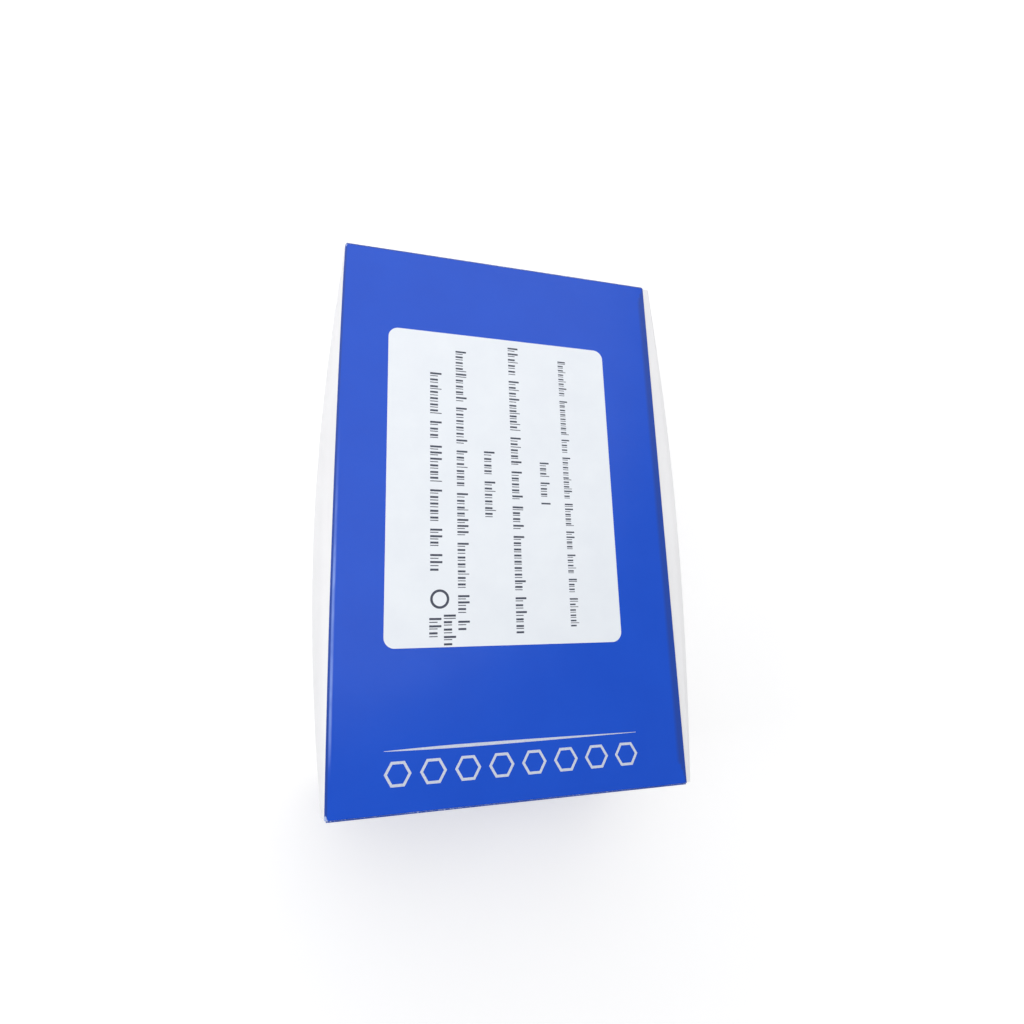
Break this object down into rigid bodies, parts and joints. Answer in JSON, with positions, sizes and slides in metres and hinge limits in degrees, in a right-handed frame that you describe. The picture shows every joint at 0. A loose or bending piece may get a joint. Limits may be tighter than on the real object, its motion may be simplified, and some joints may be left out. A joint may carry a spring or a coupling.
{
  "type": "test kit carton",
  "caption": "Closed tuck-end folding carton in glossy blue and white board with bulged sides and a blank white label, packed with foil pouches, buffer vials and a leaflet",
  "frame": {"origin": "centre of the bounding box's bottom, on the underside of the back panel", "axes": "+Z out of the printed front panel, +Y along the carton towards the far end, +X across it towards the glued edge"},
  "size_m": [0.1352, 0.189, 0.0701],
  "materials": {
    "printed_board": "gloss",
    "label_paper": "satin",
    "leaflet_paper": "matte",
    "pouch_foil": "satin",
    "vial_plastic": "satin"
  },
  "bodies": {
    "carton": {"carton_body": "printed_board", "label": "label_paper", "package_insert": "leaflet_paper", "foil_pouch_01": "pouch_foil", "foil_pouch_02": "pouch_foil", "foil_pouch_03": "pouch_foil", "foil_pouch_04": "pouch_foil", "foil_pouch_05": "pouch_foil", "foil_pouch_06": "pouch_foil", "foil_pouch_07": "pouch_foil", "foil_pouch_08": "pouch_foil", "foil_pouch_09": "pouch_foil", "foil_pouch_10": "pouch_foil", "foil_pouch_11": "pouch_foil", "foil_pouch_12": "pouch_foil", "foil_pouch_13": "pouch_foil", "foil_pouch_14": "pouch_foil", "foil_pouch_15": "pouch_foil", "foil_pouch_16": "pouch_foil", "foil_pouch_17": "pouch_foil", "foil_pouch_18": "pouch_foil", "foil_pouch_19": "pouch_foil", "foil_pouch_20": "pouch_foil", "foil_pouch_21": "pouch_foil", "foil_pouch_22": "pouch_foil", "foil_pouch_23": "pouch_foil", "foil_pouch_24": "pouch_foil", "foil_pouch_25": "pouch_foil", "buffer_vial_01": "vial_plastic", "buffer_vial_02": "vial_plastic", "buffer_vial_03": "vial_plastic", "buffer_vial_04": "vial_plastic", "buffer_vial_05": "vial_plastic", "buffer_vial_06": "vial_plastic", "buffer_vial_07": "vial_plastic", "buffer_vial_08": "vial_plastic", "buffer_vial_09": "vial_plastic", "buffer_vial_10": "vial_plastic", "buffer_vial_11": "vial_plastic", "buffer_vial_12": "vial_plastic", "buffer_vial_13": "vial_plastic", "buffer_vial_14": "vial_plastic", "buffer_vial_15": "vial_plastic", "buffer_vial_16": "vial_plastic", "buffer_vial_17": "vial_plastic", "buffer_vial_18": "vial_plastic", "buffer_vial_19": "vial_plastic", "buffer_vial_20": "vial_plastic", "buffer_vial_21": "vial_plastic", "buffer_vial_22": "vial_plastic", "buffer_vial_23": "vial_plastic", "buffer_vial_24": "vial_plastic", "buffer_vial_25": "vial_plastic"},
    "near_lid": {"near_lid": "printed_board"},
    "far_lid": {"far_lid": "printed_board"}
  },
  "joints": [
    {"name": "near_lid_fold", "type": "hinge", "parent": "carton", "child": "near_lid", "pos_m": [0, -0.09394, 0.07], "axis": [-1, 0, 0], "range_deg": [0, 165]},
    {"name": "far_lid_fold", "type": "hinge", "parent": "carton", "child": "far_lid", "pos_m": [0, 0.09394, 0.07], "axis": [1, 0, 0], "range_deg": [0, 165]}
  ]
}
